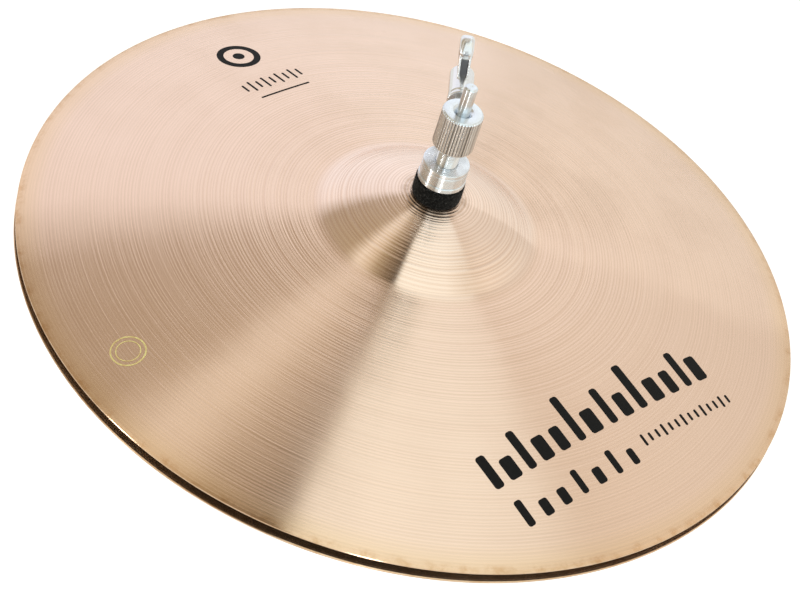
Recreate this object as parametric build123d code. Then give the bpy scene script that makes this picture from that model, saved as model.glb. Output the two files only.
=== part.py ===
"""A pair of 15 inch hi-hat cymbals on their clutch, pull rod and bottom seat.

The row frame has +Z up along the pull rod, and its origin on that axis, at the shoulder
of the seat's spigot, which stands in the top of a hi-hat stand's tube. All sizes are in
millimetres. The wing screw points along +Y. The two cymbals are stored slightly open.
"""

from build123d import *
import os
from math import sqrt

# ---- Cymbals: heights are above the rim's outer edge, as a cymbal lies bell up ----
CYMBAL_RADIUS = 190.5
BELL_FOOT_RADIUS = 52.0
HOLE_RADIUS = 6.25
BOW_RISE = 27.0          # rim to the foot of the bell
CYMBAL_RISE = 44.0       # rim to the edge of the hole
BOW_CROWN = 4.1          # how far the bow's arc bulges from its chord
BELL_CROWN = 3.6         # how far the bell's arc bulges from its chord
BELL_FOOT_FILLET = 14.0
TOP_THICKNESS = 1.1
BOTTOM_THICKNESS = 1.3
RIM_GAP = 4.4            # between the two rims as stored
RIM_ROUNDING = 0.3

# ---- Seat ----
SPIGOT_RADIUS = 9.5
SPIGOT_LENGTH = 30.0
SPIGOT_BORE_RADIUS = 5.0
FLANGE_RADIUS = 17.0
FLANGE_THICKNESS = 4.0
FLANGE_BEVEL = 0.5
SPIGOT_FOOT_BEVEL = 0.6
CUP_RADIUS = 23.0
CUP_THICKNESS = 5.0
CUP_FLARE_HEIGHT = 2.5   # of the cone from the flange out to the cup's side
CUP_LIP_HEIGHT = 1.2
CUP_LIP_TOP_WIDTH = 1.2
CUP_LIP_ROOT_WIDTH = 1.6
CUP_TUBE_RADIUS = 5.6
CUP_TUBE_BORE_RADIUS = 3.7
CUP_TUBE_ABOVE_APEX = 4.0
CUP_TUBE_BEVEL = 0.6
CUP_SCREW_CIRCLE_RADIUS = 13.0
CUP_SCREW_COUNT = 3
CUP_SCREW_RADIUS = 1.5
CUP_SCREW_HEAD_RADIUS = 2.9
CUP_SCREW_LENGTH = 8.0
CUP_SCREW_SLOT = (3.2, 0.7, 0.8)     # length, width and depth
SEAT_FELT_RADIUS = 19.5
SEAT_FELT_THICKNESS = 6.7
BUSH_FLANGE_RADIUS = 6.6
UPPER_BUSH_LENGTH = 14.0
LOWER_BUSH_LENGTH = 10.0
LOWER_BUSH_FLANGE = 1.5

# ---- Pull rod ----
ROD_RADIUS = 3.175
ROD_BORE_RADIUS = 3.25   # of every part that slides on the rod
ROD_FOOT_Z = -75.0
ROD_ABOVE_BODY = 14.5
ROD_TIP_CHAMFER = 0.6
THREAD_RADIUS = 3.0
ROD_FOOT_CHAMFER = 0.4
LOCK_NUT_ACROSS_FLATS = 10.0
LOCK_NUT_THICKNESS = 5.0
LOCK_NUT_BEVEL = 0.6
FREE_THREAD_LENGTH = 12.5
THREAD_RELIEF_RADIUS = 2.55
THREAD_RELIEF_LENGTH = 0.6
BUMPER_RADIUS = 6.5
BUMPER_THICKNESS = 3.0
BUMPER_BEVEL = 0.5

# ---- Clutch: heights are above the top cymbal's rim ----
SLEEVE_RADIUS = 5.3
SLEEVE_BORE_RADIUS = 4.0
SLEEVE_FOOT = 26.5
SLEEVE_IN_BODY = 6.0
SLEEVE_BEVEL = 0.4
FELT_RADIUS = 11.8
FELT_BORE_RADIUS = 5.6
FELT_ROUNDING = 1.2
UPPER_FELT_TOP = 53.8
WASHER_RADIUS = 11.4
WASHER_TOP = 56.4
NUT_RADIUS = 11.1
NUT_BORE_RADIUS = 5.35
NUT_BEVEL = 0.4          # also of the clamp washer
LOWER_WASHER_BEVEL = 0.3
CLAMP_NUT_TOP = 62.3
JAM_NUT_TOP = 64.5
BODY_FOOT = 74.6
BODY_TOP = 95.0
BODY_RADIUS = 9.75
BODY_RIB_COUNT = 40
BODY_RIB_DEPTH = 0.45
BODY_EDGE_BEVEL = 0.7
ROD_MOUTH_RADIUS = 4.9   # the countersink round the rod at the body's top
ROD_MOUTH_DEPTH = 1.4
LOWER_FELT_FOOT = 36.6
LOWER_WASHER_FOOT = 35.4
BOTTOM_NUT_FOOT = 28.0
BOTTOM_NUT_RADIUS = 11.6
BOTTOM_NUT_BEVEL = 0.8
BOTTOM_NUT_RIB_COUNT = 32

# ---- Wing screw: distances are from the rod's axis, along +Y ----
SCREW_HEIGHT = 85.0      # above the top cymbal's rim
SCREW_RADIUS = 2.95
SCREW_HOLE_RADIUS = 3.0
PAD_RADIUS = 2.6
PAD_THICKNESS = 1.7
PAD_CLEARANCE = 0.05
HUB_START = 18.5
HUB_END = 41.0
HUB_RADIUS = 5.9
HUB_END_BEVEL = 1.5
HUB_COLLAR_RADIUS = 6.3
HUB_COLLAR_LENGTH = 2.4
HUB_GROOVE_RADIUS = 5.3
HUB_GROOVE_LENGTH = 1.0
SCREW_IN_HUB = 12.0
WING_TIP_HEIGHT = 15.6   # of each lobe's centre, above and below the screw's axis
WING_TIP_OUT = 39.5      # of each lobe's centre, from the rod's axis
WING_TIP_RADIUS = 6.2
WING_TIP_THICKNESS = 6.7
WING_TIP_ROUNDING = 2.6
WING_ROOT_OUT = 34.0
WING_ROOT_RADIUS = 5.0
WING_WEB_THICKNESS = 3.4
WING_LEAN = 7.0          # degrees that the stored wing stands off the vertical

FELT_GAP = 0.3           # between a felt and the curved bronze that it carries
EPS = 0.01
CUT_MARGIN = 1.0         # how far a cutting tool reaches past the face it starts from


def turned(*points):
    """A solid of revolution about Z from the corners (radius, height) of its section."""
    return revolve(Plane.XZ * make_face(Polyline(*points, close=True)), Axis.Z)


def ring(outer, inner, low, high, bevel=0.0):
    """A ring about Z, with its two outer edges bevelled."""
    solid = turned((inner, low), (outer, low), (outer, high), (inner, high))
    if not bevel:
        return solid
    rims = solid.edges().filter_by(GeomType.CIRCLE).group_by(SortBy.RADIUS)[-1]
    return chamfer(rims, bevel)


def ribbed(solid, radius, low, high, count, depth):
    """Cuts straight ribs, as a coin edge has, round a turned solid."""
    groove = Pos(radius, 0, (low + high) / 2) * Rot(0, 0, 45) * Box(
        depth * sqrt(2), depth * sqrt(2), high - low + 2
    )
    return solid - [Rot(0, 0, i * 360 / count) * groove for i in range(count)]


def arc_centre(start, end, crown):
    """Centre and radius of the arc from start to end whose bulge, away from the axis, is crown."""
    run, rise = end[0] - start[0], end[1] - start[1]
    chord = sqrt(run * run + rise * rise)
    radius = (chord * chord / 4 + crown * crown) / (2 * crown)
    back = (radius - crown) / chord
    middle = ((start[0] + end[0]) / 2, (start[1] + end[1]) / 2)
    return (middle[0] + rise * back, middle[1] - run * back), radius


HOLE_EDGE = (HOLE_RADIUS, CYMBAL_RISE)
BELL_FOOT = (BELL_FOOT_RADIUS, BOW_RISE)
RIM_EDGE = (CYMBAL_RADIUS, 0.0)
BELL_CENTRE, BELL_ARC_RADIUS = arc_centre(HOLE_EDGE, BELL_FOOT, BELL_CROWN)
BOW_CENTRE, BOW_ARC_RADIUS = arc_centre(BELL_FOOT, RIM_EDGE, BOW_CROWN)


def height_on(centre, radius, r):
    """Height of an arc of the cymbal's outer surface at distance r from the axis."""
    return centre[1] + sqrt(radius * radius - (r - centre[0]) ** 2)


def bell_height(r):
    return height_on(BELL_CENTRE, BELL_ARC_RADIUS, r)


def arc_on(centre, radius, start, end):
    """The arc of the outer surface between two distances from the axis."""
    middle = (start + end) / 2
    points = [(r, height_on(centre, radius, r)) for r in (start, middle, end)]
    return ThreePointArc(*points)


def cymbal(thickness):
    """A cymbal, bell up, with its rim's outer edge at height 0."""
    floor = -4.0
    under = make_face([
        arc_on(BELL_CENTRE, BELL_ARC_RADIUS, HOLE_RADIUS, BELL_FOOT_RADIUS),
        arc_on(BOW_CENTRE, BOW_ARC_RADIUS, BELL_FOOT_RADIUS, CYMBAL_RADIUS),
        *Polyline(RIM_EDGE, (CYMBAL_RADIUS, floor), (HOLE_RADIUS, floor), HOLE_EDGE).edges(),
    ])
    foot = under.vertices().sort_by_distance(Vector(*BELL_FOOT))[0]
    under = fillet(foot, BELL_FOOT_FILLET)
    section = under - Pos(0, -thickness) * under
    rim = [v for v in section.vertices() if v.X > CYMBAL_RADIUS - EPS]
    section = fillet(rim, RIM_ROUNDING)
    return revolve(Plane.XZ * section, Axis.Z)


def bell_felt(radius, surface_gap, flat):
    """A felt ring with one flat face, and the other fitted to the bell's outer arc plus surface_gap."""
    fitted = [
        (r, bell_height(r) + surface_gap)
        for r in (FELT_BORE_RADIUS, (FELT_BORE_RADIUS + radius) / 2, radius)
    ]
    section = make_face([
        ThreePointArc(*fitted),
        *Polyline(fitted[2], (radius, flat), (FELT_BORE_RADIUS, flat), fitted[0]).edges(),
    ])
    corners = [v for v in section.vertices() if v.X > radius - EPS]
    return revolve(Plane.XZ * fillet(corners, FELT_ROUNDING), Axis.Z)


# ---- Levels in the row frame ----
CUP_TOP = FLANGE_THICKNESS + CUP_THICKNESS
BOTTOM_APEX = CUP_TOP + SEAT_FELT_THICKNESS + FELT_GAP
BOTTOM_RIM = BOTTOM_APEX + CYMBAL_RISE
TOP_RIM = BOTTOM_RIM + BOTTOM_THICKNESS + RIM_GAP + TOP_THICKNESS
ROD_TOP = TOP_RIM + BODY_TOP + ROD_ABOVE_BODY
LIFT = Pos(0, 0, TOP_RIM)
INVERT = Pos(0, 0, BOTTOM_RIM) * Rot(180, 0, 0)


# ---- Cymbals ----
def top_cymbal():
    return LIFT * cymbal(TOP_THICKNESS)


def bottom_cymbal():
    return INVERT * cymbal(BOTTOM_THICKNESS)


# ---- Seat ----
def seat_spigot():
    """The turned spigot and flange, bored for the bushes and tapped for the cup's screws."""
    spigot = ring(SPIGOT_RADIUS, SPIGOT_BORE_RADIUS, -SPIGOT_LENGTH, 0)
    spigot = chamfer(spigot.edges().filter_by(GeomType.CIRCLE).group_by(Axis.Z)[0][-1], SPIGOT_FOOT_BEVEL)
    flange = ring(FLANGE_RADIUS, SPIGOT_BORE_RADIUS, 0, FLANGE_THICKNESS, FLANGE_BEVEL)
    holes = PolarLocations(CUP_SCREW_CIRCLE_RADIUS, CUP_SCREW_COUNT) * Cylinder(
        CUP_SCREW_RADIUS, 4 * FLANGE_THICKNESS
    )
    return spigot + flange - holes


def rod_guide_bushes():
    """Two nylon bushes that guide the rod, one at each end of the spigot's bore."""
    upper = ring(
        SPIGOT_BORE_RADIUS, ROD_BORE_RADIUS, FLANGE_THICKNESS - UPPER_BUSH_LENGTH, FLANGE_THICKNESS
    )
    foot = -SPIGOT_LENGTH
    lower = ring(SPIGOT_BORE_RADIUS, ROD_BORE_RADIUS, foot, foot + LOWER_BUSH_LENGTH)
    lower += ring(BUSH_FLANGE_RADIUS, ROD_BORE_RADIUS, foot - LOWER_BUSH_FLANGE, foot)
    return Compound([upper, lower])


def cup_screw():
    """A countersunk screw with its head's flat at height 0 and a cross recess."""
    head = CUP_SCREW_HEAD_RADIUS - CUP_SCREW_RADIUS
    screw = turned(
        (0, 0), (CUP_SCREW_HEAD_RADIUS, 0), (CUP_SCREW_RADIUS, -head),
        (CUP_SCREW_RADIUS, -CUP_SCREW_LENGTH), (0, -CUP_SCREW_LENGTH),
    )
    length, width, depth = CUP_SCREW_SLOT
    slot = Box(length, width, 2 * depth)
    return screw - slot - Rot(0, 0, 90) * slot


def cup_screw_sites():
    return [
        Pos(0, 0, CUP_TOP) * place
        for place in PolarLocations(CUP_SCREW_CIRCLE_RADIUS, CUP_SCREW_COUNT)
    ]


def seat_cup():
    """The dished nylon cup, with the tube that keeps the cymbal's hole off the rod."""
    tube_top = BOTTOM_APEX + CUP_TUBE_ABOVE_APEX
    lip_top = CUP_TOP + CUP_LIP_HEIGHT
    cup = turned(
        (CUP_TUBE_BORE_RADIUS, FLANGE_THICKNESS), (FLANGE_RADIUS, FLANGE_THICKNESS),
        (CUP_RADIUS, FLANGE_THICKNESS + CUP_FLARE_HEIGHT), (CUP_RADIUS, lip_top),
        (CUP_RADIUS - CUP_LIP_TOP_WIDTH, lip_top), (CUP_RADIUS - CUP_LIP_ROOT_WIDTH, CUP_TOP),
        (CUP_TUBE_RADIUS, CUP_TOP), (CUP_TUBE_RADIUS, tube_top - CUP_TUBE_BEVEL),
        (CUP_TUBE_RADIUS - CUP_TUBE_BEVEL, tube_top), (CUP_TUBE_BORE_RADIUS, tube_top),
    )
    head = CUP_SCREW_HEAD_RADIUS - CUP_SCREW_RADIUS
    hole = turned(
        (0, CUT_MARGIN), (CUP_SCREW_HEAD_RADIUS, CUT_MARGIN), (CUP_SCREW_HEAD_RADIUS, 0),
        (CUP_SCREW_RADIUS, -head), (CUP_SCREW_RADIUS, -2 * CUP_THICKNESS), (0, -2 * CUP_THICKNESS),
    )
    return cup - [place * hole for place in cup_screw_sites()]


def cup_screws():
    return Compound([place * cup_screw() for place in cup_screw_sites()])


def seat_felt():
    """The thick felt that the bottom cymbal's bell rests on."""
    fitted = bell_felt(SEAT_FELT_RADIUS, FELT_GAP, CYMBAL_RISE + FELT_GAP + SEAT_FELT_THICKNESS)
    return INVERT * fitted


# ---- Pull rod ----
def pull_rod():
    """The ground steel rod, with a reduced threaded foot that screws into the stand's pull."""
    relief = ROD_FOOT_Z + FREE_THREAD_LENGTH
    lock_nut_foot = relief + THREAD_RELIEF_LENGTH
    shank_foot = lock_nut_foot + LOCK_NUT_THICKNESS
    tip = ROD_TOP - ROD_TIP_CHAMFER
    return turned(
        (0, ROD_FOOT_Z), (THREAD_RADIUS - ROD_FOOT_CHAMFER, ROD_FOOT_Z),
        (THREAD_RADIUS, ROD_FOOT_Z + ROD_FOOT_CHAMFER),
        (THREAD_RADIUS, relief), (THREAD_RELIEF_RADIUS, relief),
        (THREAD_RELIEF_RADIUS, lock_nut_foot), (THREAD_RADIUS, lock_nut_foot),
        (THREAD_RADIUS, shank_foot), (ROD_RADIUS, shank_foot),
        (ROD_RADIUS, tip), (ROD_RADIUS - ROD_TIP_CHAMFER, ROD_TOP), (0, ROD_TOP),
    )


def rod_lock_nut():
    """A hexagon nut, its corners turned off, under the rod's shoulder."""
    low = ROD_FOOT_Z + FREE_THREAD_LENGTH + THREAD_RELIEF_LENGTH
    half_flats = LOCK_NUT_ACROSS_FLATS / 2
    blank = Pos(0, 0, low) * extrude(
        RegularPolygon(half_flats, 6, major_radius=False), LOCK_NUT_THICKNESS
    )
    corner = half_flats * 2 / sqrt(3)
    turned_off = turned(
        (THREAD_RADIUS, low), (half_flats, low), (corner, low + LOCK_NUT_BEVEL),
        (corner, low + LOCK_NUT_THICKNESS - LOCK_NUT_BEVEL), (half_flats, low + LOCK_NUT_THICKNESS),
        (THREAD_RADIUS, low + LOCK_NUT_THICKNESS),
    )
    return blank & turned_off


def rod_bumper():
    """The rubber ring that lands on the spigot when the rod is fully up."""
    low = ROD_FOOT_Z + FREE_THREAD_LENGTH + THREAD_RELIEF_LENGTH + LOCK_NUT_THICKNESS
    return ring(BUMPER_RADIUS, ROD_RADIUS, low, low + BUMPER_THICKNESS, BUMPER_BEVEL)


# ---- Clutch ----
def clutch_body():
    """The ribbed body, bored for the rod, counterbored for the sleeve and tapped for the wing screw."""
    body = ring(BODY_RADIUS, ROD_BORE_RADIUS, BODY_FOOT, BODY_TOP, BODY_EDGE_BEVEL)
    body -= ring(SLEEVE_RADIUS, 0, BODY_FOOT - CUT_MARGIN, BODY_FOOT + SLEEVE_IN_BODY)
    body -= turned(
        (0, BODY_TOP - ROD_MOUTH_DEPTH), (ROD_BORE_RADIUS, BODY_TOP - ROD_MOUTH_DEPTH),
        (ROD_MOUTH_RADIUS, BODY_TOP), (ROD_MOUTH_RADIUS, BODY_TOP + CUT_MARGIN),
        (0, BODY_TOP + CUT_MARGIN),
    )
    body = ribbed(body, BODY_RADIUS, BODY_FOOT, BODY_TOP, BODY_RIB_COUNT, BODY_RIB_DEPTH)
    tapped = Pos(0, 0, SCREW_HEIGHT) * Rot(-90, 0, 0) * Cylinder(
        SCREW_HOLE_RADIUS, 2 * BODY_RADIUS, align=(Align.CENTER, Align.CENTER, Align.MIN)
    )
    return LIFT * (body - tapped)


def clutch_sleeve():
    """The threaded sleeve that passes through the top cymbal."""
    top = BODY_FOOT + SLEEVE_IN_BODY
    return LIFT * ring(SLEEVE_RADIUS, SLEEVE_BORE_RADIUS, SLEEVE_FOOT, top, SLEEVE_BEVEL)


def sleeve_liner():
    """The nylon liner in the sleeve, which runs on the rod."""
    return LIFT * ring(
        SLEEVE_BORE_RADIUS, ROD_BORE_RADIUS, SLEEVE_FOOT, BODY_FOOT + SLEEVE_IN_BODY
    )


def upper_felt():
    return LIFT * bell_felt(FELT_RADIUS, FELT_GAP, UPPER_FELT_TOP)


def clamp_washer():
    """The metal washer on the upper felt."""
    return LIFT * ring(WASHER_RADIUS, NUT_BORE_RADIUS, UPPER_FELT_TOP, WASHER_TOP, NUT_BEVEL)


def clamp_nut():
    return LIFT * ring(NUT_RADIUS, NUT_BORE_RADIUS, WASHER_TOP, CLAMP_NUT_TOP, NUT_BEVEL)


def jam_nut():
    return LIFT * ring(NUT_RADIUS, NUT_BORE_RADIUS, CLAMP_NUT_TOP, JAM_NUT_TOP, NUT_BEVEL)


def lower_felt():
    """The felt between the top cymbal's inside and the bottom nut."""
    return LIFT * bell_felt(FELT_RADIUS, -TOP_THICKNESS - FELT_GAP, LOWER_FELT_FOOT)


def lower_washer():
    washer = ring(
        NUT_RADIUS, NUT_BORE_RADIUS, LOWER_WASHER_FOOT, LOWER_FELT_FOOT, LOWER_WASHER_BEVEL
    )
    return LIFT * washer


def bottom_nut():
    """The ribbed nut that holds the top cymbal on the sleeve."""
    nut = ring(
        BOTTOM_NUT_RADIUS, NUT_BORE_RADIUS, BOTTOM_NUT_FOOT, LOWER_WASHER_FOOT, BOTTOM_NUT_BEVEL
    )
    return LIFT * ribbed(
        nut, BOTTOM_NUT_RADIUS, BOTTOM_NUT_FOOT, LOWER_WASHER_FOOT, BOTTOM_NUT_RIB_COUNT,
        BODY_RIB_DEPTH,
    )


# ---- Wing screw ----
SCREW_AXIS = Pos(0, 0, TOP_RIM + SCREW_HEIGHT) * Rot(-90, 0, 0)   # its +Z is the row's +Y
PAD_START = ROD_RADIUS + PAD_CLEARANCE


def clamp_pad():
    """The brass pad at the screw's tip, which presses on the rod."""
    return SCREW_AXIS * ring(PAD_RADIUS, 0, PAD_START, PAD_START + PAD_THICKNESS)


def wing_stud():
    return SCREW_AXIS * ring(SCREW_RADIUS, 0, PAD_START + PAD_THICKNESS, HUB_START + SCREW_IN_HUB)


def wing_blade(side):
    """One blade of the wing, a web with a thick rounded lobe at its tip, in the plane Y = 0."""
    lobe = Pos(side * WING_TIP_HEIGHT, WING_TIP_OUT) * Circle(WING_TIP_RADIUS)
    root = Pos(0, WING_ROOT_OUT) * Circle(WING_ROOT_RADIUS)
    outline = make_hull([*lobe.edges(), *root.edges()])
    web = extrude(outline, WING_WEB_THICKNESS / 2, both=True)
    tip = extrude(lobe, WING_TIP_THICKNESS / 2, both=True)
    tip = fillet(tip.edges().filter_by(GeomType.CIRCLE), WING_TIP_ROUNDING)
    return Plane.XZ * (web + tip)


def wing_handle():
    """The cast wing and its hub, pressed on the stud."""
    collar_end = HUB_START + HUB_COLLAR_LENGTH
    groove_end = collar_end + HUB_GROOVE_LENGTH
    hub = turned(
        (0, HUB_START), (HUB_COLLAR_RADIUS, HUB_START), (HUB_COLLAR_RADIUS, collar_end),
        (HUB_GROOVE_RADIUS, collar_end), (HUB_GROOVE_RADIUS, groove_end),
        (HUB_RADIUS, groove_end), (HUB_RADIUS, HUB_END - HUB_END_BEVEL),
        (HUB_RADIUS - HUB_END_BEVEL, HUB_END), (0, HUB_END),
    )
    handle = hub + wing_blade(1) + wing_blade(-1)
    handle -= ring(SCREW_RADIUS, 0, HUB_START - CUT_MARGIN, HUB_START + SCREW_IN_HUB)
    upright = Rot(0, 0, 90)
    return SCREW_AXIS * Rot(0, 0, -WING_LEAN) * upright * handle


NODES = [
    seat_spigot, rod_guide_bushes, seat_cup, cup_screws, seat_felt, bottom_cymbal,
    pull_rod, rod_lock_nut, rod_bumper,
    clutch_body, clutch_sleeve, sleeve_liner, upper_felt, top_cymbal,
    clamp_washer, clamp_nut, jam_nut, lower_felt, lower_washer, bottom_nut,
    clamp_pad, wing_stud, wing_handle,
]

os.makedirs("parts", exist_ok=True)
for make in NODES:
    export_step(make(), f"parts/{make.__name__}.step")
print("rod top", ROD_TOP, "top rim", TOP_RIM, "screw axis height", TOP_RIM + SCREW_HEIGHT)
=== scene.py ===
"""Looks for a pair of hi-hat cymbals with their clutch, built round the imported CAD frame.

All lengths are in metres, in the frame's own axes: +Z up along the pull rod, +Y towards the wing screw.
"""

import math
import random

import bmesh
import bpy
from mathutils import Matrix, Vector, noise


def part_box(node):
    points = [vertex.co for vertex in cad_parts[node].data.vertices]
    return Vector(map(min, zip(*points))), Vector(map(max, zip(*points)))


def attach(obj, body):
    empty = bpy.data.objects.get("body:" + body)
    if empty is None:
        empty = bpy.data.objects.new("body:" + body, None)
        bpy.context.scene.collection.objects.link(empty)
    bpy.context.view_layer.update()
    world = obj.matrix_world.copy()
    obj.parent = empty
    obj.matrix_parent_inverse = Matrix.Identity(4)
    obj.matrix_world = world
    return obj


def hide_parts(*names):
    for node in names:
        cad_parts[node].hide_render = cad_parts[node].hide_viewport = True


MM = 0.001
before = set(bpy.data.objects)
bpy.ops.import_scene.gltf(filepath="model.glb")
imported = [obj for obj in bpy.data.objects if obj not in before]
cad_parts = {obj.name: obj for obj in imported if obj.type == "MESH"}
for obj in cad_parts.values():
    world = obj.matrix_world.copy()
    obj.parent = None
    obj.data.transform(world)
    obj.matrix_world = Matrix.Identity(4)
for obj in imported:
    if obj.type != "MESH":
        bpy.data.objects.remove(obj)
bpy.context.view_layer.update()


def low(node):
    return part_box(node)[0]


def high(node):
    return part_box(node)[1]


def radius_of(node):
    return (high(node).x - low(node).x) / 2


# ---- Cymbal sizes: heights are above the rim's outer edge, as a cymbal lies bell up ----
CYMBAL_RADIUS = radius_of("top_cymbal")
HOLE_RADIUS = 6.25 * MM
BELL_FOOT = (52.0 * MM, 27.0 * MM)
HOLE_EDGE = (HOLE_RADIUS, 44.0 * MM)
RIM_EDGE = (CYMBAL_RADIUS, 0.0)
BELL_CROWN = 3.6 * MM
BOW_CROWN = 4.1 * MM
BELL_FOOT_FILLET = 14.0 * MM
TOP_THICKNESS = 1.1 * MM
BOTTOM_THICKNESS = 1.3 * MM
RIM_ROUNDING = 0.3 * MM
TOP_RIM_EDGE = low("top_cymbal").z + TOP_THICKNESS
BOTTOM_RIM_EDGE = high("bottom_cymbal").z - BOTTOM_THICKNESS
TOP_PLACE = Matrix.Translation((0, 0, TOP_RIM_EDGE))
BOTTOM_PLACE = Matrix.Translation((0, 0, BOTTOM_RIM_EDGE)) @ Matrix.Rotation(math.pi, 4, "X")
CYMBAL_SEGMENTS = 384
CYMBAL_STEP = 1.5 * MM

# ---- Camera ----
CAMERA_AZIMUTH = math.radians(-9.0)
CAMERA_ELEVATION = math.radians(42.43)
CAMERA_ROLL = math.radians(18.64)
CAMERA_DISTANCE = 1.150
CAMERA_SHIFT = (-6.49 * MM, -18.13 * MM)  # along the picture's own right and up
CAMERA_LENS = 107.65
FLOOR_HEIGHT = -0.85
FLOOR_SIZE = 16.0


# ---- Shader helpers ----
def node(tree, kind, inputs=None, **settings):
    """Adds a shader node. Each input is a value, or another node's output socket to link."""
    made = tree.nodes.new(kind)
    for key, value in settings.items():
        setattr(made, key, value)
    for key, value in (inputs or {}).items():
        if isinstance(value, bpy.types.NodeSocket):
            tree.links.new(value, made.inputs[key])
        else:
            made.inputs[key].default_value = value
    return made


def math_node(tree, operation, first, second=0.0, third=0.0):
    values = {0: first, 1: second, 2: third}
    return node(tree, "ShaderNodeMath", values, operation=operation).outputs[0]


def product(tree, first, *others):
    for other in others:
        first = math_node(tree, "MULTIPLY", first, other)
    return first


def vector_node(tree, operation, first, second=(0, 0, 0)):
    return node(tree, "ShaderNodeVectorMath", {0: first, 1: second}, operation=operation).outputs[0]


def remap(tree, value, from_low, from_high, to_low, to_high):
    """A smooth step from to_low to to_high as value goes from from_low to from_high."""
    values = {
        "Value": value, "From Min": from_low, "From Max": from_high,
        "To Min": to_low, "To Max": to_high,
    }
    return node(tree, "ShaderNodeMapRange", values, interpolation_type="SMOOTHSTEP").outputs[0]


def mix_colour(tree, factor, first, second):
    made = tree.nodes.new("ShaderNodeMix")
    made.data_type = "RGBA"
    for socket, value in ((0, factor), (6, first), (7, second)):
        if isinstance(value, bpy.types.NodeSocket):
            tree.links.new(value, made.inputs[socket])
        else:
            made.inputs[socket].default_value = value
    return made.outputs[2]


def object_point(tree):
    return node(tree, "ShaderNodeTexCoord").outputs["Object"]


def noise_of(tree, vector, scale, detail=2.0, roughness=0.5):
    values = {"Vector": vector, "Scale": scale, "Detail": detail, "Roughness": roughness}
    return node(tree, "ShaderNodeTexNoise", values).outputs["Fac"]


def noise_along(tree, value, scale, detail=2.0, roughness=0.5):
    """Noise along one measure, such as the distance from an axis."""
    values = {"W": value, "Scale": scale, "Detail": detail, "Roughness": roughness}
    return node(tree, "ShaderNodeTexNoise", values, noise_dimensions="1D").outputs["Fac"]


def distance_from_axis(tree, axis="Z", centre=(0, 0, 0)):
    """Distance of a point from the line along a row axis through centre."""
    keep = tuple(0.0 if letter == axis else 1.0 for letter in "XYZ")
    moved = vector_node(tree, "SUBTRACT", object_point(tree), centre)
    flat = vector_node(tree, "MULTIPLY", moved, keep)
    return node(tree, "ShaderNodeVectorMath", {0: flat}, operation="LENGTH").outputs["Value"]


def outward_from_axis(tree, point):
    """The level direction from the Z axis towards a point."""
    return vector_node(tree, "NORMALIZE", vector_node(tree, "MULTIPLY", point, (1, 1, 0)))


def bump(tree, height, distance, strength=1.0, below=None):
    values = {"Height": height, "Distance": distance, "Strength": strength}
    if below is not None:
        values["Normal"] = below
    return node(tree, "ShaderNodeBump", values).outputs[0]


def new_material(name, **constants):
    """A material with one Principled shader. Returns it, its tree and the shader."""
    material = bpy.data.materials.new(name)
    material.use_nodes = True
    tree = material.node_tree
    shader = tree.nodes["Principled BSDF"]
    for key, value in constants.items():
        shader.inputs[key.replace("_", " ")].default_value = value
    return material, tree, shader


def connect(tree, shader, **sockets):
    for key, socket in sockets.items():
        tree.links.new(socket, shader.inputs[key.replace("_", " ")])


# ---- Materials ----
BRONZE = (0.90, 0.68, 0.54, 1)
BELL_BRONZE = (0.95, 0.76, 0.64, 1)
# painted shade: the tone that the foot of each lathe groove darkens towards
BRONZE_GROOVE_SHADE = (0.72, 0.50, 0.37, 1)
RIM_BRONZE = (0.84, 0.60, 0.36, 1)
TARNISH = (0.58, 0.31, 0.12, 1)
# painted shade: the darker bronze of the cymbals' facing sides, which darkens the gap between them
SHADED_INSIDE_BRONZE = (0.40, 0.25, 0.15, 1)
# painted shade at the foot of each lathe groove, on the cymbals' facing sides
INSIDE_GROOVE_SHADE = (0.26, 0.15, 0.09, 1)
FELT_MARK_BROWN = (0.20, 0.11, 0.04, 1)
ALUMINIUM = (0.90, 0.95, 1.0, 1)
RIB_ALUMINIUM = (0.88, 0.94, 1.0, 1)
# colour of the ribs' wear, also used as painted shade in the valleys between them
RIB_WEAR_AND_VALLEY_SHADE = (0.16, 0.15, 0.13, 1)
RIB_DULLNESS = 0.55  # of the most worn ribs
RIB_EDGE = 0.2 * MM  # over which the wear and the painted shade in the valleys fade at a rib's ends
FELT_MARK_RADII = (13.5 * MM, 18.5 * MM)  # over which the stain left by the felt fades
FELT_MARK_SHARE = 0.6
RIM_GOLD_RADII = (176 * MM, 189.5 * MM)  # over which the bronze turns golden towards the rim
RIM_GOLD_SHARE = 0.5
TARNISH_RADII = (185.5 * MM, 190 * MM)
TARNISH_SHARE = 0.75
BRONZE_ROUGHNESS = (0.22, 0.26)
BELL_POLISH = 0.05  # how much less rough the bell is
GROOVE_PITCH = 1.55 * MM
GROOVE_TILT = 0.135
GROOVE_DRIFT = 1.2 * MM  # how far the rings wander from true circles
GROOVE_JITTER = 7.0  # radians by which a ring's spacing varies
GROOVE_SHADE = 0.42  # how far painted shade darkens the colour at a groove's foot
OUTER_GROOVE_RADII = (98 * MM, 124 * MM)  # over which the coarse grooves grow shallower
OUTER_GROOVE_DEPTH = 0.62
FINE_GROOVES_PER_METRE = 3400.0
FINE_GROOVE_TILT = 0.72
BELL_GROOVE_DEPTH = 1.4  # of the coarse grooves on the bell, against the bow's
BELL_GROOVE_TILT = 0.36  # of the finest grooves, which the bell has less of
SMEAR_ACROSS_GROOVES = 0.25  # anisotropic rotation, in whole turns


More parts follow.
